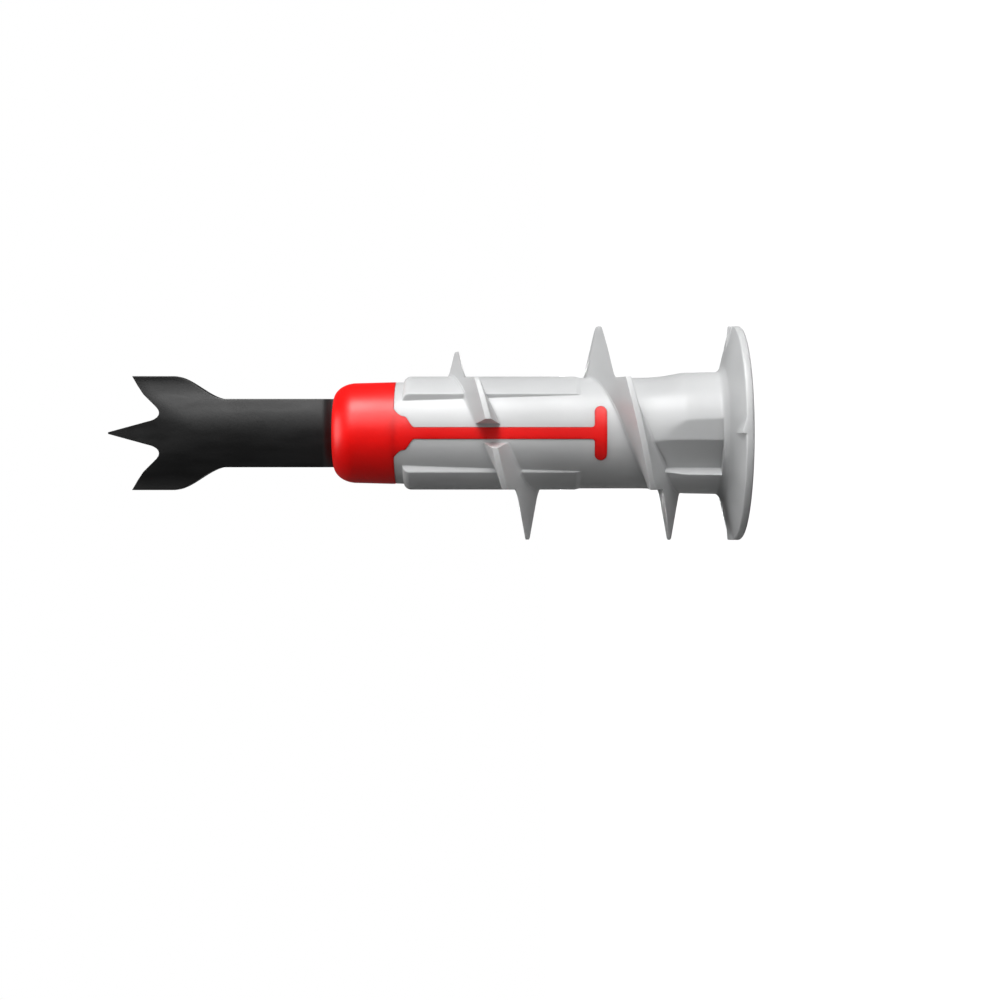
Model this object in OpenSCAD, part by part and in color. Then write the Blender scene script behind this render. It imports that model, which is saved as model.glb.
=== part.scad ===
// Self-drilling plug for plasterboard. A hard body carries a flange head, a coarse
// right-hand thread and two long ribs. A soft insert is moulded into it: a collar at the
// front and a T-shaped inlay on two sides. A flat cutting tip sits in the collar.
// The plug stands on the face of its head, tip up, with its axis on Z. Its mould opens
// along Y, so the thread has its full height only beside the parting plane, XZ.

/* [Head] */
// Radius of the flange
flange_r = 7.4; // [6.6:0.1:9]
// Height of the flange's upright rim
rim_h = 0.52; // [0.36:0.02:0.9]
// Height of the shallow cone from the rim to the foot of the neck
cone_h = 0.7; // [0.4:0.02:1.2]
// Height of the hollow curve that leads into the neck
foot_h = 0.53; // [0.3:0.01:0.8]
// Width of that curve
foot_w = 0.54; // [0.3:0.02:0.7]
// Bevel on the outer edge of the head's face
face_bevel = 0.12; // [0.06:0.02:0.2]
// Length of the small ramped catch on the rim, one in each quarter
catch_len = 0.95; // [0.6:0.05:1.6]
// Height of the catch over the rim
catch_h = 0.31; // [0.2:0.01:0.4]
// Reach of the catch from the rim towards the neck
catch_reach = 1.7; // [1.2:0.1:2.2]
// Radius of the neck under the flange
neck_r = 4.22; // [4.05:0.01:4.6]
// Length of the straight part of the neck
neck_len = 2.4; // [2:0.1:3.4]
// Length over which the neck runs down to the body
neck_run = 2.75; // [2:0.05:3.2]
// Distance of the neck's cutting wall from the middle
reamer_x = 2.35; // [2:0.05:2.7]
// Radius of the floor in front of the cutting wall
reamer_r = 3.5; // [3.3:0.01:3.9]
// Width of the cutting wall, seen along the mould's opening
reamer_w = 0.46; // [0.3:0.02:0.6]
// Distance from the middle at which the floor leaves the neck's surface
reamer_lead = 1.0; // [0.6:0.05:1.4]
// Distance of the crease in the floor from the middle
crease_x = 0.45; // [0.2:0.05:0.9]
// Radius of the floor at the crease
crease_r = 3.92; // [3.86:0.01:4]

/* [Drive] */
// Reach of the cross recess at the face
cross_r = 3.1; // [2.6:0.1:3.6]
// Width of a wing of the cross recess
cross_w = 1.15; // [0.9:0.05:1.5]
// Depth of the cross recess
cross_d = 3.2; // [2.4:0.1:4.2]
// Reach of the narrow cross between the wings
star_r = 2.2; // [1.9:0.1:2.4]
// Width of the narrow cross
star_w = 0.45; // [0.3:0.05:0.6]
// Radius of the hole that the screw cuts its thread in
bore_r = 1.7; // [1.4:0.05:1.9]

/* [Body] */
// Length of the body from the head's face to its front
body_len = 23.8; // [22.8:0.05:28]
// Radius of the body behind the ribs
body_r = 3.84; // [3.7:0.02:3.96]
// Radius of the body at its front
front_r = 3.5; // [3.35:0.05:3.6]
// Radius over the two ribs
rib_r = 3.92; // [3.86:0.02:4.1]
// Width of a rib across the feet of its two walls
rib_w = 5.44; // [4.6:0.04:6]
// Slant of a rib's walls, in degrees
rib_slant = 31; // [10:1:40]
// Height at which the ribs start to stand out
rib_z = 11.05; // [10.4:0.05:13]
// Length over which a rib comes up to its radius
rib_rise = 0.36; // [0.2:0.02:1]
// Distance from the end of a rib to the front of the body
rib_setback = 0.55; // [0.4:0.05:1.2]
// Length of the bevel at the end of a rib
rib_bevel = 0.28; // [0.1:0.02:0.5]

/* [Thread] */
// Radius over the thread
thread_r = 7.4; // [6.6:0.1:8]
// Rise of the thread in one turn
lead = 9.82; // [9:0.02:10.4]
// Height of the crest that stands on the +X side
crest_z = 9.8; // [9.4:0.02:10.2]
// Height at which the thread starts, near the head
thread_low = 2.5; // [2.3:0.1:3]
// Height at which the thread has run out, near the front
thread_high = 21.55; // [20.8:0.05:22.2]
// Half the thickness of the thread's foot at the tooth nearest the head
foot_head = 0.76; // [0.6:0.02:0.9]
// Half the thickness of the thread's foot at the thickest tooth
foot_mid = 0.84; // [0.7:0.02:1]
// Half the thickness of the thread's foot where it is back to its full height
foot_front = 0.78; // [0.6:0.02:0.9]
// Half the thickness of the thread's foot where it runs out at the front
foot_end = 0.42; // [0.3:0.02:0.55]
// Half the thickness of the thread at its crest
crest_w = 0.14; // [0.08:0.02:0.25]
// How far inside the body's outline the thread's ends are cut off
trim_in = 0.1; // [0.04:0.02:0.3]
// Half the width of the gap that lets the inlay pass, on the body
gap_w = 0.66; // [0.56:0.02:0.9]
// Draft of the thread's ends at the gap, in degrees
gap_draft = 6.3; // [3:0.1:10]

/* [Soft insert] */
// Length of the collar
collar_len = 4.45; // [3.8:0.05:6]
// Length of the collar's rounded nose
nose_len = 1.8; // [1.2:0.05:2.4]
// Radius of the flat end of the nose
nose_r = 2.2; // [2.05:0.01:2.6]
// How far the collar's foot stands out of the body's front
collar_proud = 0.03; // [0:0.01:0.1]
// Taper of the collar from its foot to its nose, on radius
collar_taper = 0.07; // [0:0.01:0.2]
// Half the width of an inlay's long bar
bar_w = 0.38; // [0.28:0.02:0.5]
// Half the width of the bar where it runs into the collar
flare_w = 1.5; // [1:0.05:1.9]
// Length of the flare
flare_len = 1.35; // [0.8:0.05:2]
// Half the length of the cross-bar at the other end
tee_w = 1.82; // [1.2:0.02:2.1]
// Width of the cross-bar
tee_h = 0.81; // [0.6:0.02:1]
// Height of the middle of the cross-bar
tee_z = 9.82; // [9.4:0.02:10.4]
// Fillet where the long bar meets the cross-bar
tee_fillet = 0.22; // [0.1:0.02:0.4]
// Distance of the inlay's flat floor from the axis
inlay_floor = 2.55; // [2.4:0.05:2.8]
// How far the inlay stands out of the body
inlay_proud = 0.04; // [0:0.01:0.1]

/* [Tip] */
// Length of the straight shank in front of the collar
shank_len = 7.3; // [6:0.1:10]
// Half the width of the shank
shank_w = 2.36; // [2.24:0.02:2.6]
// Length over which the shank widens to the blade
shoulder_len = 3.6; // [2.6:0.1:5]
// Half the width of the blade
blade_w = 3.94; // [3.5:0.02:4.4]
// Length of the blade's parallel edges
edge_len = 2.9; // [2:0.1:4]
// Height of the centre point over the two spurs
point_h = 1.7; // [1.2:0.1:2.4]
// Half the angle of the centre point, in degrees
point_angle = 14.4; // [12:0.1:17]
// Depth of the notch between the point and a spur
notch_d = 1.95; // [1.6:0.05:2.2]
// Distance of the bottom of the notch from the axis
notch_x = 1.25; // [1.15:0.01:1.4]
// Thickness of the blade in the middle
blade_t = 2.3; // [1.9:0.05:2.8]
// Thickness of the blade at its edges
edge_t = 1.0; // [0.7:0.05:1.3]
// Thickness of the centre point at its end
point_t = 0.3; // [0.2:0.05:0.6]
// Distance from the front of the body to the tang's shoulder
tang_setback = 0.6; // [0.4:0.05:1]
// Radius of the round peg that closes the bore
peg_r = 1.5; // [1.2:0.05:1.65]
// Length of the peg inside the body
peg_len = 3.6; // [2.5:0.1:4.5]

/* [Fit] */
// Gap that a moulded-in piece leaves as it shrinks
shrink = 0.02; // [0.01:0.01:0.05]

/* [Hidden] */
$fn = 96;
neck_z = rim_h + cone_h + foot_h;
run_z = neck_z + neck_len;
straight_z = run_z + neck_run;
nose_z = body_len + collar_len;
shoulder_z = nose_z + shank_len;
edge_z = shoulder_z + shoulder_len;
spur_z = edge_z + edge_len;
tip_z = spur_z + point_h;
trim_x = body_r - trim_in;
root_r = front_r - 0.35;
joint_h = 0.2;
thread_step = 6;
far = 2 * thread_r;

function smooth(t) = t * t * (3 - 2 * t);
function angle_at(z) = (z - crest_z) / lead * 360;
function crest_at(a) = crest_z + lead * a / 360;
// The crest climbs fast out of the front end and slowly up to the full height at half
// a turn, and falls in an eighth of a turn at the head.
function share(x) = max(0, min(1, x));
function front_rise(a) = pow(share((angle_at(thread_high) - a) / (angle_at(thread_high) - 180)), 0.55);
function head_rise(a) = smooth(share((a - angle_at(thread_low)) / 75));
function crest_r(a) = body_r + (thread_r - body_r) * min(front_rise(a), head_rise(a));
function foot_at(a) = lookup(a, [[-180, foot_head], [0, foot_mid], [180, foot_front],
    [270, foot_front], [angle_at(thread_high), foot_end]]);
// Half the thickness of the thread at angle a and radius r, on its straight flanks
function flank_w(a, r) = foot_at(a)
    + (crest_w - foot_at(a)) * (r - body_r) / max(crest_r(a) - body_r, 0.25 * (thread_r - body_r));

// Outline of the neck and body without ribs, as points of radius and height
function body_side(grow) = concat(
    [[neck_r + grow, neck_z]],
    [for (i = [0:12]) let (t = i / 12)
        [body_r + grow + (neck_r - 0.04 - body_r) * pow(1 - t, 2), run_z + neck_run * t]],
    [[body_r + grow, rib_z], [front_r + grow, body_len]]);

module flange() {
    rotate_extrude()
        polygon(concat([[0, 0], [flange_r - face_bevel, 0], [flange_r, face_bevel], [flange_r, rim_h]],
            [for (i = [0:8]) let (t = i / 8)
                [neck_r + foot_w * pow(1 - t, 2), rim_h + cone_h + foot_h * t]],
            [[0, neck_z]]));
}

// A ramp on the rim that ends in a sharp step and runs out on the flange's cone
module rim_catch() {
    rise = cone_h * catch_reach / (flange_r - neck_r - foot_w) - catch_h;
    intersection() {
        cylinder(h = neck_z, r = flange_r);
        translate([0, -flange_r, rim_h])
            rotate([90 + atan(rise / catch_reach), 0, 0])
                translate([0, 0, -catch_reach])
                    linear_extrude(2 * catch_reach)
                        polygon([[0, -rim_h / 2], [0, catch_h], [catch_len, 0], [catch_len, -rim_h / 2]]);
    }
}

// The pocket in front of the wall that reams the hole for the neck. Its floor falls in
// two facets from the neck's surface to the foot of the wall.
module reamer_pocket() {
    top_x = reamer_x + reamer_w;
    low_z = neck_z - foot_h / 4;
    translate([0, 0, low_z])
        linear_extrude(straight_z - low_z)
            polygon([[reamer_lead, -sqrt(pow(neck_r, 2) - pow(reamer_lead, 2))],
                [-crease_x, -sqrt(pow(crease_r, 2) - pow(crease_x, 2))],
                [-reamer_x, -sqrt(pow(reamer_r, 2) - pow(reamer_x, 2))],
                [-top_x, -sqrt(pow(neck_r, 2) - pow(top_x, 2)) - shrink],
                [-top_x, -neck_r - 1], [reamer_lead, -neck_r - 1]]);
}

module turned_body() {
    difference() {
        union() {
            flange();
            rotate_extrude()
                polygon(concat([[0, rim_h], [neck_r, rim_h]], body_side(0), [[0, body_len]]));
        }
        for (side = [0, 180])
            rotate([0, 0, side]) reamer_pocket();
    }
}

// Two long raised bands on the parting sides, with slanted walls
module ribs() {
    rib_end = body_len - rib_setback;
    foot_x = sqrt(pow(front_r, 2) - pow(rib_w / 2, 2));
    intersection() {
        rotate_extrude()
            polygon([[0, rib_z], [body_r - 0.02, rib_z], [rib_r, rib_z + rib_rise],
                [rib_r, rib_end - rib_bevel], [front_r - 0.02, rib_end], [0, rib_end]]);
        linear_extrude(body_len)
            for (side = [-1, 1])
                polygon([[0, -rib_w / 2 + foot_x * tan(rib_slant)], [0, rib_w / 2 - foot_x * tan(rib_slant)],
                    [side * far, rib_w / 2 + (far - foot_x) * tan(rib_slant)],
                    [side * far, -rib_w / 2 - (far - foot_x) * tan(rib_slant)]]);
    }
}

// The thread as it would be turned, before the mould's limits are put on it
module full_thread() {
    from = angle_at(thread_low);
    steps = ceil((angle_at(thread_high) - from) / thread_step);
    rings = [for (i = [0:steps]) let (a = from + (angle_at(thread_high) - from) * i / steps,
            z = crest_at(a), r = crest_r(a), foot = flank_w(a, root_r), soft = crest_w / 2)
        for (p = [[root_r, -foot], [r - soft, -flank_w(a, r - soft)], [r, -soft],
                [r, soft], [r - soft, flank_w(a, r - soft)], [root_r, foot]])
            [p[0] * cos(a), p[0] * sin(a), z + p[1]]];
    sides = [for (i = [0:steps - 1], j = [0:5]) let (k = (j + 1) % 6)
        each [[6 * i + j, 6 * i + k, 6 * i + 6 + k], [6 * i + j, 6 * i + 6 + k, 6 * i + 6 + j]]];
    polyhedron(rings, concat([[5, 4, 3, 2, 1, 0]], sides, [[for (j = [0:5]) 6 * steps + j]]));
}

// What the two halves of the mould leave of the thread: a band no wider than the body,
// and beside the parting plane one pointed tooth for each half turn
module mould_limits() {
    translate([-trim_x, -far, 0]) cube([2 * trim_x, 2 * far, body_len]);
    for (half = [ceil(angle_at(thread_low) / 180) : floor(angle_at(thread_high) / 180)])
        let (side = half % 2 == 0 ? 1 : -1, a = 180 * half, r = crest_r(a))
            translate([0, far, crest_at(a)])
                rotate([90, 0, 0])
                    linear_extrude(2 * far)
                        polygon([[side * root_r, -flank_w(a, root_r)], [side * r, -crest_w],
                            [side * r, crest_w], [side * root_r, flank_w(a, root_r)]]);
}

// The gap in the thread where an inlay passes, wider away from the axis
module inlay_gap(a) {
    axis_w = gap_w - body_r * tan(gap_draft);
    far_w = axis_w + far * tan(gap_draft);
    rotate([0, 0, a + 90])
        translate([0, 0, crest_at(a) - lead / 4])
            linear_extrude(lead / 2)
                polygon([[-axis_w, 0], [axis_w, 0], [far_w, -far], [-far_w, -far]]);
}

// The inlays pass the thread a quarter and three quarters of a turn after its middle crest
module thread() {
    difference() {
        intersection() {
            full_thread();
            mould_limits();
        }
        for (a = [90, 270]) inlay_gap(a);
    }
}

// One wing pair of a cross recess, narrower towards its floor
module wing(reach, width, depth) {
    rotate([90, 0, 0])
        translate([0, 0, -width / 2])
            linear_extrude(width)
                polygon([[-reach, -1], [reach, -1], [reach, 0], [bore_r * 0.9, depth],
                    [-bore_r * 0.9, depth], [-reach, 0]]);
}

module drive_recess() {
    for (turn = [0, 90])
        rotate([0, 0, turn]) wing(cross_r, cross_w, cross_d);
    for (turn = [45, 135])
        rotate([0, 0, turn]) wing(star_r, star_w, cross_d / 2);
    translate([0, 0, -0.01]) cylinder(h = 0.4, r1 = bore_r + 0.4, r2 = bore_r);
}

// Outline of an inlay seen along Y: bar, round-ended cross-bar, and flare to the collar
module tee_outline(grow) {
    w = bar_w + grow;
    h = tee_h / 2 + grow;
    translate([-w, tee_z]) square([2 * w, body_len + joint_h - tee_z]);
    translate([h - tee_w - grow, tee_z - h]) square([2 * (tee_w + grow - h), 2 * h]);
    for (side = [-1, 1])
        translate([side * (tee_w + grow - h), tee_z]) circle(r = h, $fn = 32);
    fillet = tee_fillet - grow;
    for (side = [-1, 1])
        polygon(concat([[0, tee_z], [side * (w + fillet), tee_z]],
            [for (i = [0:6]) let (a = 15 * i)
                [side * (w + fillet - fillet * sin(a)), tee_z + h + fillet - fillet * cos(a)]],
            [[0, tee_z + h + fillet]]));
    flare = [for (i = [0:8]) let (t = i / 8)
        [w + (flare_w - bar_w) * pow(t, 1.6), body_len - flare_len + flare_len * t]];
    top = body_len + joint_h;
    polygon(concat(flare, [[flare_w + grow, top], [-flare_w - grow, top]],
        [for (i = [8:-1:0]) [-flare[i][0], flare[i][1]]]));
}

module tee_prisms(grow) {
    for (side = [0, 180])
        rotate([0, 0, side])
            translate([0, -inlay_floor + grow, 0])
                rotate([90, 0, 0])
                    linear_extrude(far) tee_outline(grow);
}

module collar() {
    round_r = front_r + collar_proud - collar_taper;
    rotate_extrude()
        polygon(concat([[0, body_len + shrink], [front_r + collar_proud, body_len + shrink]],
            [for (i = [0:12]) let (a = 90 * i / 12)
                [nose_r + (round_r - nose_r) * cos(a), nose_z - nose_len + nose_len * sin(a)]],
            [[0, nose_z]]));
}

// Outline of the tip seen along Y, on the +X side, from its tang to the centre point
function tip_side() = concat(
    [[shank_w, body_len + tang_setback]],
    [for (i = [0:12]) let (t = i / 12)
        [shank_w + (blade_w - shank_w) * smooth(t), shoulder_z + shoulder_len * t]],
    [[blade_w, spur_z], [notch_x + 1.2, spur_z - 0.42 * notch_d], [notch_x + 0.25, spur_z - notch_d + 0.07],
        [notch_x, spur_z - notch_d], [notch_x - 0.25, spur_z - notch_d + 0.07],
        [(tip_z - spur_z + notch_d - 0.35) * tan(point_angle), spur_z - notch_d + 0.35], [0.06, tip_z], [0, tip_z]]);

module tip_outline(low) {
    right = tip_side();
    half = concat([[0, low]], [[right[0][0], low]], right);
    polygon(half);
    mirror([1, 0]) polygon(half);
}

// The tip's section, thick in the middle and thin at its edges, as a lens
module lens(grow) {
    bulge = (blade_t - edge_t) / 2;
    face_r = (pow(blade_w, 2) + pow(bulge, 2)) / (2 * bulge);
    intersection_for(side = [-1, 1])
        translate([0, side * (face_r - blade_t / 2), 0])
            cylinder(h = tip_z, r = face_r + grow, $fn = 360);
}

module blade() {
    point_low = tip_z - 3.2;
    intersection() {
        translate([0, far, 0])
            rotate([90, 0, 0])
                linear_extrude(2 * far) tip_outline(body_len + tang_setback);
        lens(0);
        rotate([90, 0, 90])
            translate([0, 0, -far])
                linear_extrude(2 * far)
                    polygon([[-blade_t, 0], [blade_t, 0], [blade_t, point_low], [blade_t / 2, point_low],
                        [point_t / 2, tip_z], [-point_t / 2, tip_z], [-blade_t / 2, point_low],
                        [-blade_t, point_low]]);
    }
}

module peg(grow) {
    translate([0, 0, body_len - peg_len])
        cylinder(h = peg_len + tang_setback + joint_h + grow, r = peg_r + grow);
}

// The space that the tang and its peg take up in the collar
module tang_space() {
    intersection() {
        translate([-shank_w - shrink, -far, body_len + tang_setback - shrink])
            cube([2 * (shank_w + shrink), 2 * far, collar_len]);
        lens(shrink);
    }
    peg(shrink);
}

module plug_body() {
    color("#b9baba")
        difference() {
            union() {
                turned_body();
                for (side = [0:90:270])
                    rotate([0, 0, side]) rim_catch();
                ribs();
                thread();
            }
            tee_prisms(shrink);
            drive_recess();
            translate([0, 0, -1]) cylinder(h = 1 + body_len - peg_len, r = bore_r);
            peg(shrink);
        }
}

module soft_insert() {
    color("#e01410")
        difference() {
            union() {
                collar();
                intersection() {
                    tee_prisms(0);
                    rotate_extrude()
                        polygon(concat([[0, neck_z]], body_side(inlay_proud),
                            [[front_r, body_len + joint_h], [0, body_len + joint_h]]));
                }
            }
            tang_space();
        }
}

module blade_tip() {
    color("#262626")
        union() {
            blade();
            peg(0);
        }
}

plug_body();
soft_insert();
blade_tip();
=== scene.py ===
# Self-drilling plasterboard plug: the finish of its three mouldings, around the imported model.
# Lengths are metres in the part's own frame: +Z from the head to the tip, head face at z 0.
import math

import bmesh
import bpy
import numpy as np
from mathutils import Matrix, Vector


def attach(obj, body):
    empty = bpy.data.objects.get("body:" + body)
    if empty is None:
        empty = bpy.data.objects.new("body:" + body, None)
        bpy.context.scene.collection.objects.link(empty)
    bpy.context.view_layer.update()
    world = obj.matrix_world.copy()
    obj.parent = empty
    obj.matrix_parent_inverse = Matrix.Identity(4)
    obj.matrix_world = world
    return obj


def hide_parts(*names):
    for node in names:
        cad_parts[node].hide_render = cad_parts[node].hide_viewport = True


mm = 0.001
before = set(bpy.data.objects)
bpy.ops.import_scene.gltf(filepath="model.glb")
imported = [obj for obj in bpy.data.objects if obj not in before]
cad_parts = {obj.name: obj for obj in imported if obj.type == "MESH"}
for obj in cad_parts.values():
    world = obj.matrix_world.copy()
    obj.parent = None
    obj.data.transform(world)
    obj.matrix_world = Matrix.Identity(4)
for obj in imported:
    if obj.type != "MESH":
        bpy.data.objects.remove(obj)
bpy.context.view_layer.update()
print("frame loaded:", sorted(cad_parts))


# Camera
# It looks along +Y, rolled so that the tip points to the image's left and +X is up.
cameraSettings = {
    "distance": 120 * mm,  # from the lens to the plug's axis
    "imageSize": 1000,
    "headFaceX": 739.4,  # image column of the head's face, on the axis
    "axisY": 433.1,  # image row of the axis
    "pixelsPerMm": 14.41,  # at the axis
    "sensor": 36.0,
}


def addCamera(s):
    half = s["imageSize"] / 2
    data = bpy.data.cameras.new("camera")
    data.sensor_width = s["sensor"]
    viewWidth = s["imageSize"] / s["pixelsPerMm"] * mm
    data.lens = s["sensor"] * s["distance"] / viewWidth
    data.shift_y = (s["axisY"] - half) / s["imageSize"]
    data.clip_start = 0.005
    data.clip_end = 20
    camera = bpy.data.objects.new("camera", data)
    bpy.context.scene.collection.objects.link(camera)
    height = (s["headFaceX"] - half) / s["pixelsPerMm"] * mm
    camera.location = (0, -s["distance"], height)
    camera.rotation_mode = "XYZ"
    camera.rotation_euler = (math.radians(90), math.radians(90), 0)
    bpy.context.scene.camera = camera


addCamera(cameraSettings)
print("camera placed")


# Materials
# Turns an sRGB hex colour to linear, with alpha 1
def hexColour(code):
    values = [int(code[i : i + 2], 16) / 255 for i in (1, 3, 5)]
    linear = [v / 12.92 if v <= 0.04045 else ((v + 0.055) / 1.055) ** 2.4 for v in values]
    return (*linear, 1.0)


# Adds a node with its settings, by name or socket number, and its incoming links
def addNode(tree, kind, settings=None, links=None):
    node = tree.nodes.new(kind)
    for key, value in (settings or {}).items():
        if isinstance(key, int) or key in node.inputs:
            node.inputs[key].default_value = value
        else:
            setattr(node, key, value)
    for key, source in (links or {}).items():
        tree.links.new(source, node.inputs[key])
    return node


def newMaterial(name):
    material = bpy.data.materials.new(name)
    material.use_nodes = True
    material.node_tree.nodes.clear()
    return material, material.node_tree


# Injection moulded plastic: a satin skin with soft broad highlights, faint cloudiness where
# the melt cooled at different speeds, and a very fine grain from the spark-eroded mould.
# Light enters the skin a little way, which softens the shaded side.
def mouldedPlastic(name, s):
    material, tree = newMaterial(name)
    place = addNode(tree, "ShaderNodeTexCoord").outputs["Object"]
    stretched = addNode(tree, "ShaderNodeVectorMath", {"operation": "MULTIPLY", 1: s["stretch"]}, {0: place})
    clouds = addNode(tree, "ShaderNodeTexNoise",
                     {"Scale": 1 / s["cloudSize"], "Detail": 3.0, "Roughness": 0.5},
                     {"Vector": stretched.outputs[0]})
    tint = addNode(tree, "ShaderNodeMix",
                   {"data_type": "RGBA", 6: hexColour(s["cloudColour"]), 7: hexColour(s["colour"])},
                   {0: clouds.outputs[0]})
    gloss = addNode(tree, "ShaderNodeMapRange",
                    {"From Min": 0.3, "From Max": 0.7,
                     "To Min": s["roughness"][0], "To Max": s["roughness"][1]},
                    {"Value": clouds.outputs[0]})
    grain = addNode(tree, "ShaderNodeTexNoise",
                    {"Scale": 1 / s["grainSize"], "Detail": 2.0, "Roughness": 0.6}, {"Vector": place})
    bump = addNode(tree, "ShaderNodeBump", {"Distance": s["grainDepth"], "Strength": 1.0},
                   {"Height": grain.outputs[0]})
    shader = addNode(tree, "ShaderNodeBsdfPrincipled",
                     {"IOR": s["ior"], "Specular IOR Level": s["shine"],
                      "Subsurface Weight": s["depthShare"], "Subsurface Radius": s["depthColours"],
                      "Subsurface Scale": s["depth"]},
                     {"Base Color": tint.outputs[2], "Roughness": gloss.outputs[0],
                      "Normal": bump.outputs[0]})
    addNode(tree, "ShaderNodeOutputMaterial", {}, {"Surface": shader.outputs[0]})
    return material


# Polyamide, injection moulded: light grey, satin and slightly translucent
greyPlastic = {
    "colour": "#c9caca",
    "cloudColour": "#bfc0c1",
    "cloudSize": 2.6 * mm,
    "stretch": (1, 1, 0.6),
    "grainSize": 0.09 * mm,  # drawn coarser than the real 0.02 mm so that it shows
    "grainDepth": 0.0022 * mm,
    "roughness": (0.34, 0.44),
    "ior": 1.53,
    "shine": 0.5,
    "depthShare": 0.25,
    "depthColours": (1, 1, 1),
    "depth": 0.8 * mm,
}

# Soft thermoplastic, moulded over the body: a bright, deep red with a waxy gloss
redPlastic = {
    "colour": "#fd0603",
    "cloudColour": "#f30402",
    "cloudSize": 2.0 * mm,
    "stretch": (1, 1, 0.8),
    "grainSize": 0.11 * mm,
    "grainDepth": 0.0016 * mm,
    "roughness": (0.36, 0.44),
    "ior": 1.5,
    "shine": 0.45,
    "depthShare": 0.6,
    "depthColours": (1.0, 0.2, 0.15),
    "depth": 1.0 * mm,
}

# Glass-filled polyamide: nearly black, with streaks along the flow where fibres lie at the skin
blackPlastic = {
    "colour": "#050506",
    "cloudColour": "#090909",
    "cloudSize": 0.9 * mm,
    "stretch": (1, 1, 0.22),
    "grainSize": 0.08 * mm,
    "grainDepth": 0.003 * mm,
    "roughness": (0.32, 0.48),
    "ior": 1.55,
    "shine": 0.4,
    "depthShare": 0.0,
    "depthColours": (1, 1, 1),
    "depth": 0.1 * mm,
}

greyMaterial = mouldedPlastic("polyamide_grey_moulded", greyPlastic)
redMaterial = mouldedPlastic("soft_plastic_red_overmoulded", redPlastic)
blackMaterial = mouldedPlastic("glass_filled_polyamide_black_moulded", blackPlastic)
print("materials made: 3")


# Surfaces
# A grid of points (rows, columns, 3) in millimetres becomes quads. Columns can close on the
# first one, and each end row can close with one face.
def gridFaces(rows, columns, wrap):
    i, j = np.meshgrid(np.arange(rows - 1), np.arange(columns if wrap else columns - 1), indexing="ij")
    right = (j + 1) % columns
    corners = [i * columns + j, i * columns + right, (i + 1) * columns + right, (i + 1) * columns + j]
    return np.stack([c.ravel() for c in corners], axis=1)


# Points come in millimetres, and the mesh is in metres
def meshFromFaces(name, points, faceList):
    mesh = bpy.data.meshes.new(name)
    mesh.from_pydata([tuple(p) for p in np.asarray(points) * mm], [], faceList)
    mesh.validate()
    return mesh


def newPiece(name, mesh, material):
    piece = bpy.data.objects.new(name, mesh)
    bpy.context.scene.collection.objects.link(piece)
    mesh.materials.append(material)
    return piece


# Smallest of two values, with the corner between them rounded over a span of k
def softMin(a, b, k):
    h = np.clip(0.5 + 0.5 * (b - a) / k, 0, 1)
    return b * (1 - h) + a * h - k * h * (1 - h)


# Largest of two values, rounded in the same way
def softMax(a, b, k):
    return -softMin(-a, -b, k)


# Distance from the axis to the line through p and q, in the direction of angle t
def lineRadius(p, q, t):
    dx, dy = q[0] - p[0], q[1] - p[1]
    return (p[0] * dy - p[1] * dx) / (np.cos(t) * dy - np.sin(t) * dx)


# Grey body, in millimetres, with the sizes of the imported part
bodySize = {
    "flangeRadius": 7.4, "rimHeight": 0.52, "coneHeight": 0.7, "footHeight": 0.53, "footWidth": 0.54,
    "faceBevel": 0.12, "rimRound": 0.05,
    "catchLength": 0.95, "catchHeight": 0.31, "catchReach": 1.7,
    "neckRadius": 4.22, "neckEnd": 4.15, "runLength": 2.75,
    "pocketLead": 1.0, "creaseX": 0.45, "creaseRadius": 3.92, "wallX": 2.35, "wallRadius": 3.5,
    "wallWidth": 0.46, "pocketLow": 1.6175,
    "radius": 3.84, "frontRadius": 3.5, "length": 23.8,
    "ribRadius": 3.92, "ribWidth": 5.5, "ribSlant": 14, "ribLow": 11.05, "ribRise": 0.36,
    "ribEnd": 23.25, "ribRound": 0.5,
    "corner": 0.07,  # span over which the body's edges are rounded
}


# Radius of neck and body without ribs: a straight neck with a little draft, a hollow run
# down to the body, and a taper from the ribs' start to the front
def plainRadius(z, s):
    neckLow = s["rimHeight"] + s["coneHeight"] + s["footHeight"]
    foot = np.clip((z - neckLow + s["footHeight"]) / s["footHeight"], 0, 1)
    neck = s["neckRadius"] - 0.04 * np.clip((z - neckLow) / (s["neckEnd"] - neckLow), 0, 1)
    run = np.clip((z - s["neckEnd"]) / s["runLength"], -1, 1)
    body = s["radius"] + (s["neckRadius"] - 0.04 - s["radius"]) * (1 - run) ** 2
    taper = np.clip((z - s["ribLow"]) / (s["length"] - s["ribLow"]), 0, 1)
    low = softMin(neck, body, 0.08) + s["footWidth"] * (1 - foot) ** 2
    return low + (s["frontRadius"] - s["radius"]) * taper


# Radius of a rib: its top runs up, along, and down again in a quarter of an ellipse, and its
# wall cuts it off on both sides
def ribRadius(t, z, s):
    low = s["frontRadius"] - 0.02
    end = np.clip((z - s["ribEnd"] + s["ribRound"]) / s["ribRound"], 0, 1)
    rise = np.interp(z, [s["ribLow"] - 0.3, s["ribLow"], s["ribLow"] + s["ribRise"]],
                     [3.0, s["radius"] - 0.02, s["ribRadius"]])
    fall = np.where(z < s["ribEnd"], low + (s["ribRadius"] - low) * np.sqrt(1 - end ** 2), 3.0)
    top = np.minimum(rise, fall)
    slant = math.radians(s["ribSlant"])
    half = s["ribWidth"] / 2
    footX = math.sqrt(s["frontRadius"] ** 2 - half ** 2)
    reach = np.abs(np.sin(t)) - math.tan(slant) * np.abs(np.cos(t))
    wall = (half - footX * math.tan(slant)) / np.maximum(reach, 1e-3)
    return softMin(top, wall, s["corner"])


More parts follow.
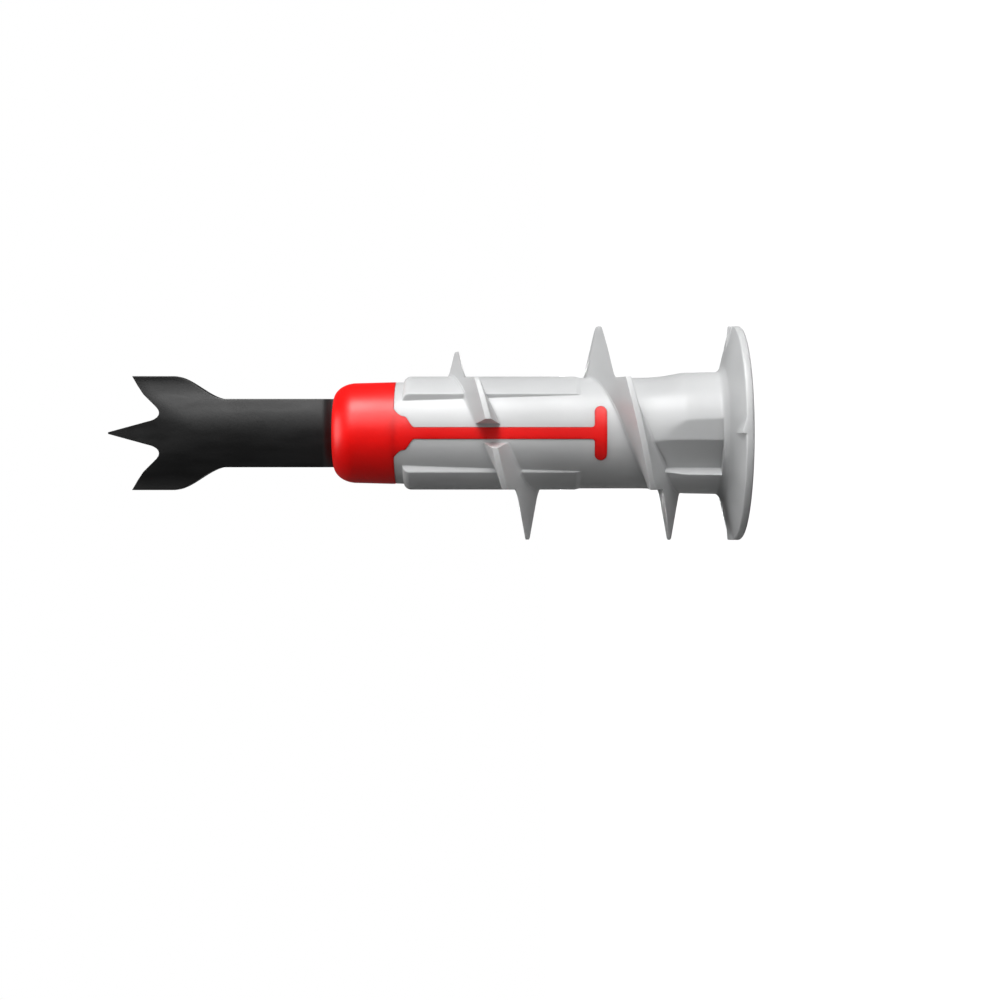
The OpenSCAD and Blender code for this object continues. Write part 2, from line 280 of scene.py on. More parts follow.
# Radius of the floor of the reaming pockets: two flat facets that fall away from the neck,
# up to an upright wall; elsewhere it is out of the way
def pocketRadius(t, z, s):
    turned = np.where(np.sin(t) > 0, t + math.pi, t)
    a = (s["pocketLead"], -math.sqrt(s["neckRadius"] ** 2 - s["pocketLead"] ** 2))
    b = (-s["creaseX"], -math.sqrt(s["creaseRadius"] ** 2 - s["creaseX"] ** 2))
    c = (-s["wallX"], -math.sqrt(s["wallRadius"] ** 2 - s["wallX"] ** 2))
    floor = softMin(lineRadius(a, b, turned), lineRadius(b, c, turned), 0.02)
    side = np.degrees(np.arctan2(-np.cos(turned), -np.sin(turned)))
    wallAngle = 0.5 * math.degrees(math.atan2(-c[0], -c[1])) + 0.5 * math.degrees(math.atan2(
        s["wallX"] + s["wallWidth"], math.sqrt(s["neckRadius"] ** 2 - (s["wallX"] + s["wallWidth"]) ** 2)))
    inside = (side > -20) & (side < wallAngle) & (z > s["pocketLow"]) & (z < s["neckEnd"] + s["runLength"])
    return np.where(inside, floor, 9.0), wallAngle


# Radius of the whole body: the plain one, cut by the pockets, with the ribs on top
def bodyRadius(t, z, s):
    pocket, _ = pocketRadius(t, z, s)
    plain = softMin(plainRadius(z, s), pocket, 0.03)
    return softMax(plain, ribRadius(t, z, s), 0.02)


# Height of the flange's tip-side face: a shallow cone, and in each quarter a ramp that rises
# along the rim to a sharp step and runs out towards the neck
def flangeHeight(r, t, s):
    coneWidth = s["flangeRadius"] - s["neckRadius"] - s["footWidth"]
    cone = s["rimHeight"] + s["coneHeight"] * (s["flangeRadius"] - r) / coneWidth
    turned = (t + math.pi / 4) % (math.pi / 2) - math.pi / 4
    along, inward = r * np.sin(turned), s["flangeRadius"] - r * np.cos(turned)
    slope = s["coneHeight"] / coneWidth - s["catchHeight"] / s["catchReach"]
    ramp = s["rimHeight"] + s["catchHeight"] * (1 - along / s["catchLength"]) + slope * inward
    return np.where(along > 0, softMax(cone, ramp, 0.02), cone)


# The body's skin in rows up from the head's face. Angles and heights lie close together
# where the shape turns: at the ribs' walls, the pockets' edges and the catches' steps.
def bodyGrid(s):
    _, wallAngle = pocketRadius(np.zeros(1), np.zeros(1), s)
    ribWall = [45.2, 45.7, 46.1, 46.4, 46.7, 47, 47.3, 47.7, 48.1, 48.5,
               48.9, 49.3, 49.7, 50.1, 50.5, 50.9, 51.4]
    special = [sign * a + turn for a in ribWall for sign in (1, -1) for turn in (0, 180)]
    for turn in (-90, 90):
        special += [turn - wallAngle + d for d in (-0.6, -0.02, 0.02, 0.6)]
        special += [turn - 6.6 + d for d in (-0.5, -0.2, 0, 0.2, 0.5)]
        special += [turn + 13.7 + d for d in (-1, -0.4, 0, 0.4, 1)]
    special += [turn + d for turn in (-90, 0, 90, 180) for d in (-0.3, -0.01, 0.01, 0.3, 6.8, 7.4, 8)]
    special = np.array(special) % 360
    even = np.arange(0, 360, 2.0)
    gap = np.abs((even[:, None] - special[None, :] + 180) % 360 - 180).min(axis=1)
    t = np.radians(np.unique(np.round(np.concatenate([even[gap > 0.45], special]), 4)))

    rows = []  # each row: radius and height at every angle
    flat = np.ones_like(t)
    top = flangeHeight(s["flangeRadius"] * flat, t, s)
    bevel = s["faceBevel"]
    for inward, height in ((bevel + 0.03, 0), (bevel - 0.01, 0.012),
                           (bevel / 2, bevel / 2), (0.012, bevel - 0.01)):
        rows.append(((s["flangeRadius"] - inward) * flat, height * flat))
    for share in (0, 0.5, 1):
        rows.append((s["flangeRadius"] * flat, bevel + 0.03 + share * (top - bevel - 0.03 - s["rimRound"])))
    rows.append(((s["flangeRadius"] - 0.014) * flat, top - 0.014))
    for inward in (s["rimRound"], 0.1, 0.25, 0.45, 0.7, 1.0, 1.3, 1.5, 1.65, 1.72, 1.8, 2.0, 2.3, 2.5, 2.6):
        r = (s["flangeRadius"] - inward) * flat
        rows.append((r, flangeHeight(r, t, s)))
    low = s["rimHeight"] + s["coneHeight"]
    heights = np.concatenate([
        low + np.array([0.0, 0.03, 0.07, 0.12, 0.18, 0.24, 0.3, 0.36, 0.385,
                        0.3965, 0.3985, 0.42, 0.48, 0.53]),
        [1.9, 2.2, 2.6, 3.0, 3.4, 3.8, 4.05, 4.15, 4.25], np.arange(4.4, 6.8, 0.2),
        [6.8, 6.89, 6.91, 7.2, 8, 9, 10, 10.7, 10.95, 11.0, 11.03, 11.06, 11.1, 11.16, 11.24,
         11.32, 11.38, 11.42, 11.5],
        np.arange(12.2, 22.3, 1.0),
        [22.7, 22.76, 22.84, 22.92, 23.0, 23.06, 23.11, 23.15, 23.18, 23.205, 23.225, 23.238,
         23.246, 23.2495, 23.252, 23.4, 23.65]])
    for z in heights:
        rows.append((bodyRadius(t, z * flat, s), z * flat))
    front = s["length"]
    for inward, below in ((0, 0.02), (0.006, 0.006), (0.02, 0)):
        rows.append((plainRadius((front - below) * flat, s) - inward, (front - below) * flat))
    r = np.array([row[0] for row in rows])
    z = np.array([row[1] for row in rows])
    points = np.stack([r * np.cos(t), r * np.sin(t), z], axis=-1)
    faces = gridFaces(len(rows), len(t), True).tolist()
    n = len(t)
    faces.append(list(range(n))[::-1])
    faces.append(list(range((len(rows) - 1) * n, len(rows) * n)))
    return points.reshape(-1, 3), faces


# Thread: a helical rib that the mould's two halves trim to a flat band in front and behind
# and to one pointed tooth for each half turn beside the parting plane
threadSize = {
    "radius": 7.4, "lead": 9.82, "crestHeight": 9.8, "low": 2.5, "high": 21.55,
    "frontPower": 0.55, "headRise": 75,
    "headHidden": 16,  # degrees at the head end in which the crest lies inside the neck
    "leastTall": 0.25, "filletFade": 0.6,
    "feet": ([-180, 0, 180, 270], [0.76, 0.84, 0.78, 0.78]), "footEnd": 0.42,
    "crestWidth": 0.14, "landWidth": 0.055, "trim": 3.74, "rootRadius": 3.15, "innerRadius": 3.2,
    "gapWidth": 0.66, "gapDraft": 6.3, "fillet": 0.14, "crestRound": 0.08, "step": 1.5,
    "leanFade": 12,  # degrees over which the lean of a wall beside an inlay dies out
}


# Angle in degrees at which the crest passes height z, with 0 at +X
def threadAngle(z, s):
    return (z - s["crestHeight"]) / s["lead"] * 360


# Radius of the crest at angle a: it falls to the core at the front as a power of the way
# that is left, and at the head in a smooth step
def crestRadius(a, s, core):
    high, low = threadAngle(s["high"], s), threadAngle(s["low"], s)
    front = np.clip((high - a) / (high - 180), 0, 1) ** s["frontPower"]
    head = np.clip((a - low) / s["headRise"], 0, 1)
    return core + (s["radius"] - core) * np.minimum(front, head * head * (3 - 2 * head))


# Half the thread's width at the core, between the places where it was measured
def footWidth(a, s):
    places = s["feet"][0] + [threadAngle(s["high"], s)]
    return np.interp(a, places, s["feet"][1] + [s["footEnd"]])


# Half the thread's width at the crest, a little more in front and behind than at the sides
def landWidth(a, s):
    return s["crestWidth"] + s["landWidth"] * np.sin(np.radians(a)) ** 2


# Height from the core to the crest, as far as it sets the slope of the flanks
def flankHeight(crest, s, core):
    return np.maximum(crest - core, s["leastTall"] * (s["radius"] - core))


# Radius of the thread at angle a and height dz from its crest: straight flanks from the foot
# up to the land, with rounded crest edges and a round fillet where they meet the body
def threadRadius(a, dz, local, s, core):
    crest, foot, land = crestRadius(a, s, core), footWidth(a, s), landWidth(a, s)
    tall = flankHeight(crest, s, core)
    flank = core + (foot - np.abs(dz)) * tall / (foot - land)
    turned = softMin(crest, flank, s["crestRound"])
    fillet = s["fillet"] * np.clip((crest - local) / s["filletFade"], 0, 1)
    reach = np.abs(dz) - (foot + (land - foot) * (local - core) / tall)
    inside = np.clip(fillet - reach, 0, fillet)
    return np.maximum(turned, local + fillet - np.sqrt(np.maximum(fillet ** 2 - inside ** 2, 0)))


# The pointed tooth of a half turn: the radius of its crest, and half its width at the root
def toothShape(half, s, core):
    crest, foot = crestRadius(half * 180, s, core), footWidth(half * 180, s)
    tall = flankHeight(crest, s, core)
    return crest, foot + (s["crestWidth"] - foot) * (s["rootRadius"] - core) / tall


# Radius at which the mould's halves cut the thread: along a flat, or along the tooth of
# this half turn, which narrows to a point
def mouldLimit(a, t, z, s, core):
    half = np.round(a / 180)
    centre = s["crestHeight"] + s["lead"] * half / 2
    crest, rootWidth = toothShape(half, s, core)
    away = np.clip((np.abs(z - centre) - s["crestWidth"]) / (rootWidth - s["crestWidth"]), 0, 4)
    tooth = crest - away * (crest - s["rootRadius"])
    return np.maximum(s["trim"], tooth) / np.maximum(np.abs(np.cos(t)), 1e-3)


# How far from the crest each flank meets the cut of the mould: the flat band, or on the side
# of this half turn's tooth the tooth's own flank. The grid puts a column on each of these
# edges, so that they come out clean.
def cutPlaces(a, s, core):
    half = np.round(a / 180)
    toTooth = s["lead"] * (half * 180 - a) / 360
    foot, land = footWidth(a, s), landWidth(a, s)
    slope = flankHeight(crestRadius(a, s, core), s, core) / (foot - land)
    side = np.maximum(np.abs(np.cos(np.radians(a))), 1e-3)
    band = np.clip(foot - (s["trim"] / side - core) / slope, land, 0.9 * foot)
    crest, rootWidth = toothShape(half, s, core)
    toothSlope = (crest - s["rootRadius"]) / (rootWidth - s["crestWidth"])
    meet = (core + foot * slope) * side - crest + (np.abs(toTooth) - s["crestWidth"]) * toothSlope
    meet = np.clip(meet / (toothSlope + slope * side), 0.02, band)
    return [np.where(sign * toTooth > 0, meet, band) for sign in (-1, 1)]


# One length of the thread, a closed skin: rings of the cross-section along the helix, and
# walls at its ends. A wall beside an inlay leans with the mould's draft.
def threadGrid(start, end, gapStart, gapEnd, s, body):
    core = body["radius"]
    draft = math.radians(s["gapDraft"])
    axisWidth = s["gapWidth"] - core * math.tan(draft)

    def wallAngle(r):
        return np.degrees(draft + np.arcsin(axisWidth * math.cos(draft) / r))

    nominal = wallAngle(core + 1.6)
    first = start + nominal if gapStart else start
    last = end - nominal if gapEnd else end
    a = np.linspace(first, last, int((last - first) / s["step"]) + 2)[:, None]
    edgeShare = 0.26  # the column that lies on the mould's edge
    near = np.array([0, 0.02, 0.04, 0.06, 0.08, 0.1, 0.125, 0.155, 0.2, edgeShare, 0.33, 0.41,
                     0.49, 0.57, 0.64, 0.7, 0.76, 0.82, 0.88, 0.93, 0.97, 1.0])
    far = np.array([0.01, 0.025, 0.045, 0.07, 0.1, 0.14, 0.19])  # beyond the foot, in millimetres
    foot = footWidth(a, s)
    t = np.radians(a)
    sides = []
    for sign, edge in zip((-1, 1), cutPlaces(a, s, core)):
        z0 = s["crestHeight"] + s["lead"] * a / 360 + sign * foot
        local = bodyRadius(t, z0, body)
        tall = flankHeight(crestRadius(a, s, core), s, core)
        width = np.maximum(foot + (s["crestWidth"] - foot) * (local - core) / tall, 0.1)
        edge = np.minimum(edge, 0.9 * width)
        across = np.where(near <= edgeShare, edge * near / edgeShare,
                          edge + (width - edge) * (near - edgeShare) / (1 - edgeShare))
        sides.append(sign * np.concatenate([across, width + far], axis=1))
    dz = np.concatenate([sides[0][:, ::-1], sides[1][:, 1:]], axis=1)
    z = s["crestHeight"] + s["lead"] * a / 360 + dz
    t = np.broadcast_to(t, z.shape)
    local = bodyRadius(t, z, body)
    r = softMin(threadRadius(a, dz, local, s, core), mouldLimit(a, t, z, s, core), 0.06)
    r = np.maximum(r, local - 0.02)
    inner = np.full((len(a), 1), s["innerRadius"])
    r = np.concatenate([r, inner, inner], axis=1)
    z = np.concatenate([z, z[:, -1:], z[:, :1]], axis=1)
    turn = np.broadcast_to(a, r.shape).copy()
    if gapStart:
        turn += (start + wallAngle(r) - first) * np.clip(1 - (a - first) / s["leanFade"], 0, 1) ** 2
    if gapEnd:
        turn += (end - wallAngle(r) - last) * np.clip(1 - (last - a) / s["leanFade"], 0, 1) ** 2
    z = z + s["lead"] * (turn - a) / 360
    t = np.radians(turn)
    points = np.stack([r * np.cos(t), r * np.sin(t), z], axis=-1)
    rings, n = r.shape
    faces = gridFaces(rings, n, True).tolist()
    outer = n - 2
    for base, order in ((0, 1), ((rings - 1) * n, -1)):
        ladder = [[base + k, base + k + 1, base + outer - 2 - k, base + outer - 1 - k]
                  for k in range(outer // 2)]
        ladder[-1] = [ladder[-1][0], ladder[-1][1], ladder[-1][3]]
        ladder.append([base + outer - 1, base + outer, base + outer + 1, base])
        faces += [f[::-1] if order == 1 else f for f in ladder]
    return points.reshape(-1, 3), faces


# Closed prism across Y of an outline in X and Z
def prism(outline, low, high):
    n = len(outline)
    points = [(x, y, z) for y in (low, high) for x, z in outline]
    faces = [[i, (i + 1) % n, n + (i + 1) % n, n + i] for i in range(n)]
    return np.array(points), faces + [list(range(n))[::-1], list(range(n, 2 * n))]


# Closed turned surface from a list of radius and height
def lathe(profile, count):
    t = np.linspace(0, 2 * math.pi, count, endpoint=False)
    r, z = np.array(profile).T
    points = np.stack([r[:, None] * np.cos(t), r[:, None] * np.sin(t),
                       np.repeat(z[:, None], count, 1)], axis=-1)
    faces = gridFaces(len(profile), count, True).tolist()
    faces += [list(range(count))[::-1], list(range((len(profile) - 1) * count, len(profile) * count))]
    return points.reshape(-1, 3), faces


# The T-shaped inlays, front and back, and the slots that they fill
inlaySize = {
    "bar": 0.39, "swell": 0.74, "swellLow": 22.4, "swellLength": 0.7,
    "mouth": 0.5, "mouthLow": 23.1, "mouthLength": 0.7,
    "cross": 1.82, "crossWidth": 0.81, "crossHeight": 9.82, "fillet": 0.22,
    "floor": 2.55, "proud": 0.045, "shrink": 0.02, "top": 23.98,
    "join": 23.0, "joinLength": 0.75, "joinProud": 0.0303, "tuckDepth": 0.1, "tuckLow": 23.847,
}


# Half the width of an inlay at height z: a bar that swells to a shoulder near the front and
# opens in a mouth where it joins the collar
def inlayWidth(z, s):
    swell = np.clip((z - s["swellLow"]) / s["swellLength"], 0, 1)
    mouth = np.clip((z - s["mouthLow"]) / s["mouthLength"], 0, 1)
    return s["bar"] + s["swell"] * swell ** 2 * (3 - 2 * swell) + s["mouth"] * mouth ** 2


# Outline of an inlay in X and Z, larger by grow: the widening bar from the front down, a
# rounded inner corner, and the round end of the cross, then the same on the other side
def inlayOutline(s, grow):
    w, h = s["bar"] + grow, s["crossWidth"] / 2 + grow
    fillet, end = s["fillet"] - grow, s["cross"] + grow - h
    heights = np.linspace(s["top"], s["swellLow"], 33)
    right = list(zip((inlayWidth(heights, s) + grow).tolist(), heights.tolist()))
    corner = np.radians(np.arange(90, -1, -15))
    right += [(w + fillet - fillet * math.sin(a), s["crossHeight"] + h + fillet - fillet * math.cos(a))
              for a in corner]
    rounded = np.radians(np.linspace(90, -90, 17))
    right += [(end + h * math.cos(a), s["crossHeight"] + h * math.sin(a)) for a in rounded]
    return right + [(-x, z) for x, z in right[::-1]]


# Points turned about the Z axis
def rotated(points, degrees):
    a = math.radians(degrees)
    x, y = points[:, 0], points[:, 1]
    return np.stack([x * math.cos(a) - y * math.sin(a), x * math.sin(a) + y * math.cos(a),
                     points[:, 2]], axis=1)


# The drive recess in the head and the screw hole, with the narrower hole for the tip's peg.
# Each wing of the recess: its turn in degrees, reach, width and depth.
recessSize = {
    "wings": ((0, 3.1, 1.15, 3.2), (90, 3.1, 1.15, 3.2), (45, 2.2, 0.45, 1.6), (135, 2.2, 0.45, 1.6)),
    "bore": 1.7, "boreEnd": 20.2, "pegHole": 1.52, "mouth": 0.4,
}


# Cutters for the inlay slots, the drive recess and the bore
def bodyCutters(s):
    shrink, bore, end = inlaySize["shrink"], s["bore"], s["boreEnd"]
    cutters = []
    outline = inlayOutline(inlaySize, shrink)
    for low, high in ((-9, -inlaySize["floor"] + shrink), (inlaySize["floor"] - shrink, 9)):
        cutters.append(prism(outline, low, high))
    for turn, reach, width, depth in s["wings"]:
        wing = [(-reach, -1), (reach, -1), (reach, 0), (bore * 0.9, depth), (-bore * 0.9, depth), (-reach, 0)]
        points, faces = prism(wing, -width / 2, width / 2)
        cutters.append((rotated(points, turn), faces))
    hole = [(bore + s["mouth"], -1), (bore + s["mouth"], -0.01), (bore, 0.39), (bore, end),
            (s["pegHole"], end), (s["pegHole"], 25)]
    cutters.append(lathe(hole, 96))
    return cutters


# Merges doubled points, turns the faces outwards, and returns the number of open edges
def outwardFaces(mesh, weld):
    work = bmesh.new()
    work.from_mesh(mesh)
    bmesh.ops.remove_doubles(work, verts=work.verts, dist=weld)
    bmesh.ops.recalc_face_normals(work, faces=work.faces)
    openEdges = sum(1 for edge in work.edges if not edge.is_manifold)
    work.to_mesh(mesh)
    work.free()
    return openEdges


# Cuts closed bodies out of a piece, or keeps only what lies inside them
def cutAway(piece, cutters, operation="DIFFERENCE"):
    made = []
    for number, (points, faces) in enumerate(cutters):
        mesh = meshFromFaces(f"cutter_{number}", points, faces)
        outwardFaces(mesh, 1e-9)
        cutter = bpy.data.objects.new(f"cutter_{number}", mesh)
        bpy.context.scene.collection.objects.link(cutter)
        cut = piece.modifiers.new("cut", "BOOLEAN")
        cut.operation = operation
        cut.solver = "EXACT"
        cut.object = cutter
        made.append(cutter)
    result = bpy.data.meshes.new_from_object(piece.evaluated_get(bpy.context.evaluated_depsgraph_get()))
    piece.modifiers.clear()
    piece.data = result
    for cutter in made:
        mesh = cutter.data
        bpy.data.objects.remove(cutter)
        bpy.data.meshes.remove(mesh)


# Smooth shading, with edges left sharp where the faces turn by more than the angle
def shadePiece(piece, sharpAngle=40):
    piece.data.shade_smooth()
    piece.data.set_sharp_from_angle(angle=math.radians(sharpAngle))


def finishPiece(piece, nodeName):
    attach(piece, "root")
    if nodeName:
        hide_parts(nodeName)


points, faces = bodyGrid(bodySize)
bodyMesh = meshFromFaces("grey_body", points, faces)
print("body grid", len(points), "points,", outwardFaces(bodyMesh, 1e-8), "open edges")
greyBody = newPiece("grey_body", bodyMesh, greyMaterial)
cutAway(greyBody, bodyCutters(recessSize))
shadePiece(greyBody, 32)
finishPiece(greyBody, "plug_body")
print("body cut,", len(greyBody.data.polygons), "faces")

threadLow, threadHigh = (threadAngle(threadSize[key], threadSize) for key in ("low", "high"))
threadLow += threadSize["headHidden"]
# Each length: its first and last angle, and whether it starts or ends beside an inlay
threadLengths = ((threadLow, 90, False, True), (90, 270, True, True), (270, threadHigh, True, False))
for number, (start, end, gapStart, gapEnd) in enumerate(threadLengths):
    points, faces = threadGrid(start, end, gapStart, gapEnd, threadSize, bodySize)
    mesh = meshFromFaces(f"thread_{number}", points, faces)
    print("thread", number, len(points), "points,", outwardFaces(mesh, 1e-8), "open edges")
    piece = newPiece(f"thread_{number}", mesh, greyMaterial)
    shadePiece(piece)
    finishPiece(piece, None)


# Red insert: a turned collar with a rounded nose, and an inlay on each side that follows
# the body's skin and stands out of it by a hair
collarSize = {
    "foot": 23.82, "footRadius": 3.53, "taper": 0.07,
    "noseEnd": 28.1, "noseLength": 1.6, "noseRadius": 2.3, "mouth": 0.3,
}


# Radius and height up the collar: close rows at the foot's rounding, a slight taper, and a
# nose that is a quarter of an ellipse
def collarProfile(s):
    shoulder = s["footRadius"] - s["taper"]
    low = s["noseEnd"] - s["noseLength"]
    profile = [(s["footRadius"] - 0.02, s["foot"]), (s["footRadius"] - 0.004, s["foot"] + 0.004),
               (s["footRadius"], s["foot"] + 0.01)]
    profile += [(s["footRadius"] - s["taper"] * q, s["foot"] + 0.016 + (low - s["foot"] - 0.016) * q)
                for q in np.linspace(0, 1, 9)[:-1]]
    angles = np.linspace(0, math.pi / 2, 29)
    profile += [(s["noseRadius"] + (shoulder - s["noseRadius"]) * math.cos(a),
                 low + s["noseLength"] * math.sin(a)) for a in angles]
    return profile + [(s["noseRadius"] - s["mouth"], s["noseEnd"])]


# Radius and height of the inlays' outer skin: the body's own, and proud of it by a little
# that lessens in a smooth step towards the collar, under which the skin drops away
def inlaySkin(s):
    z = np.concatenate([[9.0], np.arange(9.2, 22.9, 0.4), np.linspace(23.0, 23.8, 9), [23.845, 23.85, 24.1]])
    blend = np.clip((z - s["join"]) / s["joinLength"], 0, 1)
    proud = s["proud"] + (s["joinProud"] - s["proud"]) * blend ** 2 * (3 - 2 * blend)
    proud = proud - s["tuckDepth"] * (z > s["tuckLow"])
    return list(zip((plainRadius(z, bodySize) + proud).tolist(), z.tolist()))


points, faces = lathe(collarProfile(collarSize), 240)
mesh = meshFromFaces("red_collar", points, faces)
print("collar", len(points), "points,", outwardFaces(mesh, 1e-9), "open edges")
redCollar = newPiece("red_collar", mesh, redMaterial)
shadePiece(redCollar)
finishPiece(redCollar, "soft_insert")
for name, low, high in (("red_inlay_front", -9, -inlaySize["floor"]),
                        ("red_inlay_back", inlaySize["floor"], 9)):
    points, faces = prism(inlayOutline(inlaySize, 0), low, high)
    mesh = meshFromFaces(name, points, faces)
    outwardFaces(mesh, 1e-9)
    inlay = newPiece(name, mesh, redMaterial)
    cutAway(inlay, [lathe(inlaySkin(inlaySize), 720)], "INTERSECT")
    shadePiece(inlay)
    finishPiece(inlay, None)
print("red insert built")


# Black tip: a flat shank that spreads to a blade, with two spurs and a centre point. The
# section is thick in the middle and thins to both edges.
tipSize = {
    "low": 24.4, "shankWidth": 2.36, "shoulder": 35.55, "shoulderLength": 3.6,
    "bladeWidth": 3.94, "end": 43.75,
    "middle": 1.15, "edge": 0.5, "edgeRound": 0.05, "pointLow": 39.3, "pointEnd": 0.3,
    "sink": 0.18, "sinkLow": 28.1, "sinkLength": 0.75,
    "pegRadius": 1.5, "pegLow": 20.2, "pegHigh": 24.5,
    # the cutting edge on one side, from the centre point to the spur: distance from the axis
    # and height
    "cuttingEdge": ((0.06, 43.75), (0.8, 40.93), (0.86, 40.68), (0.95, 40.45), (1.08, 40.25),
                    (1.24, 40.13), (1.4, 40.1), (1.56, 40.14), (1.75, 40.27), (2.05, 40.58),
                    (2.35, 40.9), (2.68, 41.24), (3.27, 41.65), (3.94, 42.05)),
}


# Half the tip's width at height z, which spreads from shank to blade in a smooth step
def tipWidth(z, s):
    q = np.clip((z - s["shoulder"]) / s["shoulderLength"], 0, 1)
    return s["shankWidth"] + (s["bladeWidth"] - s["shankWidth"]) * q * q * (3 - 2 * q)


# Half the tip's thickness: edge + (middle - edge)(1 - u squared) squared, with u the share of
# the blade's half width; less a dip beside the collar, and a wedge at the centre point
def tipThickness(x, z, s):
    u = x / s["bladeWidth"]
    thick = s["edge"] + (s["middle"] - s["edge"]) * (1 - u ** 2) ** 2
    dip = np.clip((s["sinkLow"] + s["sinkLength"] - z) / s["sinkLength"], 0, 1)
    wedge = s["middle"] + (s["pointEnd"] - s["middle"]) * (z - s["pointLow"]) / (s["end"] - s["pointLow"])
    return softMin(thick - s["sink"] * dip * dip * (3 - 2 * dip), wedge, 0.3)


# Closed skin in rows of constant height: the front face, the back face, and rounded edges
def tipGrid(s):
    z = np.concatenate([np.arange(s["low"], 28, 0.6), np.arange(28, 29.2, 0.1), np.arange(29.2, 35.4, 0.4),
                        np.arange(35.5, 39.3, 0.1), np.linspace(39.4, s["end"] + 0.05, 56)])[:, None]
    fromEdge = s["edgeRound"] * np.array([0, 0.03, 0.1, 0.2, 0.35, 0.55, 0.8, 1.0])
    w = tipWidth(z, s)
    inner = np.linspace(1, -1, 61)[None, 1:-1] * (w - s["edgeRound"])
    x = np.concatenate([w - fromEdge, inner, fromEdge[::-1] - w], axis=1)
    near = np.clip(1 - (w - np.abs(x)) / s["edgeRound"], 0, 1)
    y = tipThickness(x, z, s) - s["edgeRound"] * (1 - np.sqrt(1 - near ** 2))
    y = np.maximum(y, 0.01)
    x, y = np.concatenate([x, x[:, ::-1]], axis=1), np.concatenate([-y, y[:, ::-1]], axis=1)
    points = np.stack([x, y, np.broadcast_to(z, x.shape)], axis=-1)
    rows, n = x.shape
    faces = gridFaces(rows, n, True).tolist()
    faces += [list(range(n))[::-1], list(range((rows - 1) * n, rows * n))]
    return points.reshape(-1, 3), faces


# Outline of what is cut off the blade's end: the cutting edge on both sides, closed well
# outside the blade
def cuttingEdges(s):
    edge = list(s["cuttingEdge"])
    half = edge + [(4.6, edge[-1][1] + 0.4), (4.6, 46.0)]
    return [(-x, z) for x, z in half[::-1]] + half


points, faces = tipGrid(tipSize)
mesh = meshFromFaces("black_tip", points, faces)
print("tip grid", len(points), "points,", outwardFaces(mesh, 1e-9), "open edges")
blackTip = newPiece("black_tip", mesh, blackMaterial)
cutAway(blackTip, [prism(cuttingEdges(tipSize), -3, 3)])
shadePiece(blackTip)
finishPiece(blackTip, "blade_tip")
points, faces = lathe([(tipSize["pegRadius"], tipSize[end]) for end in ("pegLow", "pegHigh")], 96)
mesh = meshFromFaces("black_peg", points, faces)
outwardFaces(mesh, 1e-9)
blackPeg = newPiece("black_peg", mesh, blackMaterial)
shadePiece(blackPeg)
finishPiece(blackPeg, None)
print("black tip built,", len(blackTip.data.polygons), "faces")


# Floor, world and lamps
# Each lamp: degrees up from the camera's side towards +X, degrees towards the tip, its two
# sides, and its power
stageSettings = {
    "floorSize": 0.5,
    "card": "#a8a8a8",
    "white": 1.2, "whiteShare": 0.85,  # the rest is the card itself, which takes the shadow
    "mirrored": 0.08,  # how much of the backdrop the plastics mirror, as in a dark room
    "roomLevel": 0.01,
    "middle": (0, 0, 22 * mm),
    "lampReach": 0.36,
    "lamps": {
        "key": (64, 5, (0.15, 0.16), 1.36),
        "fill": (36, 10, (0.16, 0.16), 0.46),
        "tip_side": (20, 76, (0.22, 0.22), 0.78),
        "head_side": (-5, -50, (0.16, 0.16), 0.17),
        "back": (180, -4, (0.05, 0.05), 0.45),
    },
}


# 1 for rays that show the white backdrop, from the camera or through glass, and a share of
# it for mirrored rays
def seenDirectly(tree, mirrored):
    path = addNode(tree, "ShaderNodeLightPath")
    dimmed = addNode(tree, "ShaderNodeMath", {"operation": "MULTIPLY", 1: mirrored},
                     {0: path.outputs["Is Glossy Ray"]})
    straight = addNode(tree, "ShaderNodeMath", {"operation": "MAXIMUM"},
                       {0: path.outputs["Is Camera Ray"], 1: path.outputs["Is Transmission Ray"]})
    seen = addNode(tree, "ShaderNodeMath", {"operation": "MAXIMUM"},
                   {0: straight.outputs[0], 1: dimmed.outputs[0]})
    return seen.outputs[0]


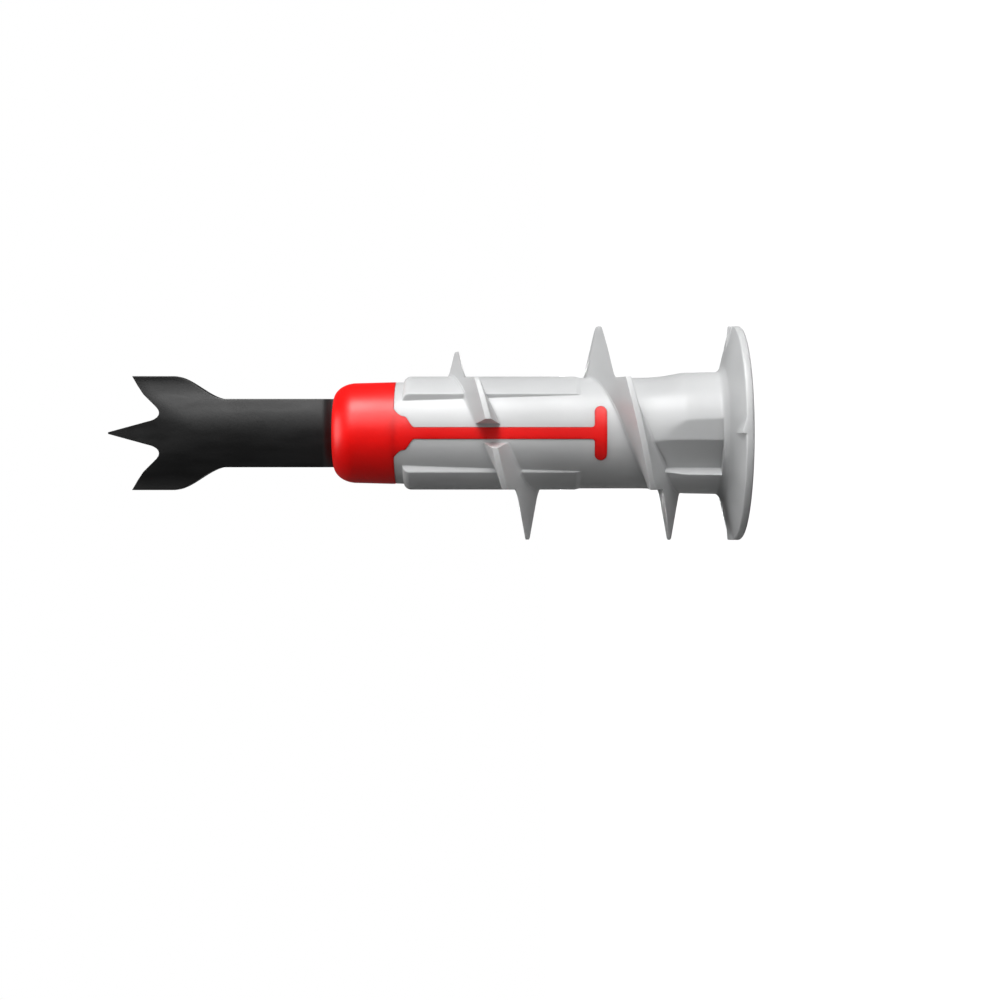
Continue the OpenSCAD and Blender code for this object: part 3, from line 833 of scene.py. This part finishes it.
def addStage(s):
    size = s["floorSize"]
    mesh = bpy.data.meshes.new("floor")
    corners = [(-size, -size, 0), (size, -size, 0), (size, size, 0), (-size, size, 0)]
    mesh.from_pydata(corners, [], [(0, 1, 2, 3)])
    floor = bpy.data.objects.new("floor", mesh)
    bpy.context.scene.collection.objects.link(floor)
    material, tree = newMaterial("white_card")
    white = addNode(tree, "ShaderNodeEmission", {"Color": (1, 1, 1, 1), "Strength": s["white"]})
    card = addNode(tree, "ShaderNodeBsdfDiffuse", {"Color": hexColour(s["card"])})
    share = addNode(tree, "ShaderNodeMath", {"operation": "MULTIPLY", 1: s["whiteShare"]},
                    {0: seenDirectly(tree, s["mirrored"])})
    mixed = addNode(tree, "ShaderNodeMixShader", {},
                    {0: share.outputs[0], 1: card.outputs[0], 2: white.outputs[0]})
    addNode(tree, "ShaderNodeOutputMaterial", {}, {"Surface": mixed.outputs[0]})
    mesh.materials.append(material)


def addWorld(s):
    world = bpy.data.worlds.new("room")
    bpy.context.scene.world = world
    world.use_nodes = True
    tree = world.node_tree
    tree.nodes.clear()
    strength = addNode(tree, "ShaderNodeMapRange", {"To Min": s["roomLevel"], "To Max": 1.0},
                       {"Value": seenDirectly(tree, s["mirrored"])})
    light = addNode(tree, "ShaderNodeBackground", {"Color": (1, 1, 1, 1)},
                    {"Strength": strength.outputs[0]})
    addNode(tree, "ShaderNodeOutputWorld", {}, {"Surface": light.outputs[0]})


# An area lamp at the reach from the plug's middle, turned to face it
def addLamp(name, up, tipward, size, power, s):
    flat = s["lampReach"] * math.cos(math.radians(tipward))
    place = (flat * math.sin(math.radians(up)), -flat * math.cos(math.radians(up)),
             s["middle"][2] + s["lampReach"] * math.sin(math.radians(tipward)))
    data = bpy.data.lights.new(name, "AREA")
    data.shape = "RECTANGLE"
    data.size, data.size_y = size
    data.energy = power
    lamp = bpy.data.objects.new(name, data)
    bpy.context.scene.collection.objects.link(lamp)
    lamp.location = place
    away = np.array(place) - np.array(s["middle"])
    lamp.rotation_mode = "QUATERNION"
    lamp.rotation_quaternion = Vector(away).to_track_quat("Z", "Y")


addStage(stageSettings)
addWorld(stageSettings)
for name, lampValues in stageSettings["lamps"].items():
    addLamp(name, *lampValues, stageSettings)
print("stage, world and lamps placed")

bpy.context.scene.view_settings.view_transform = "Standard"
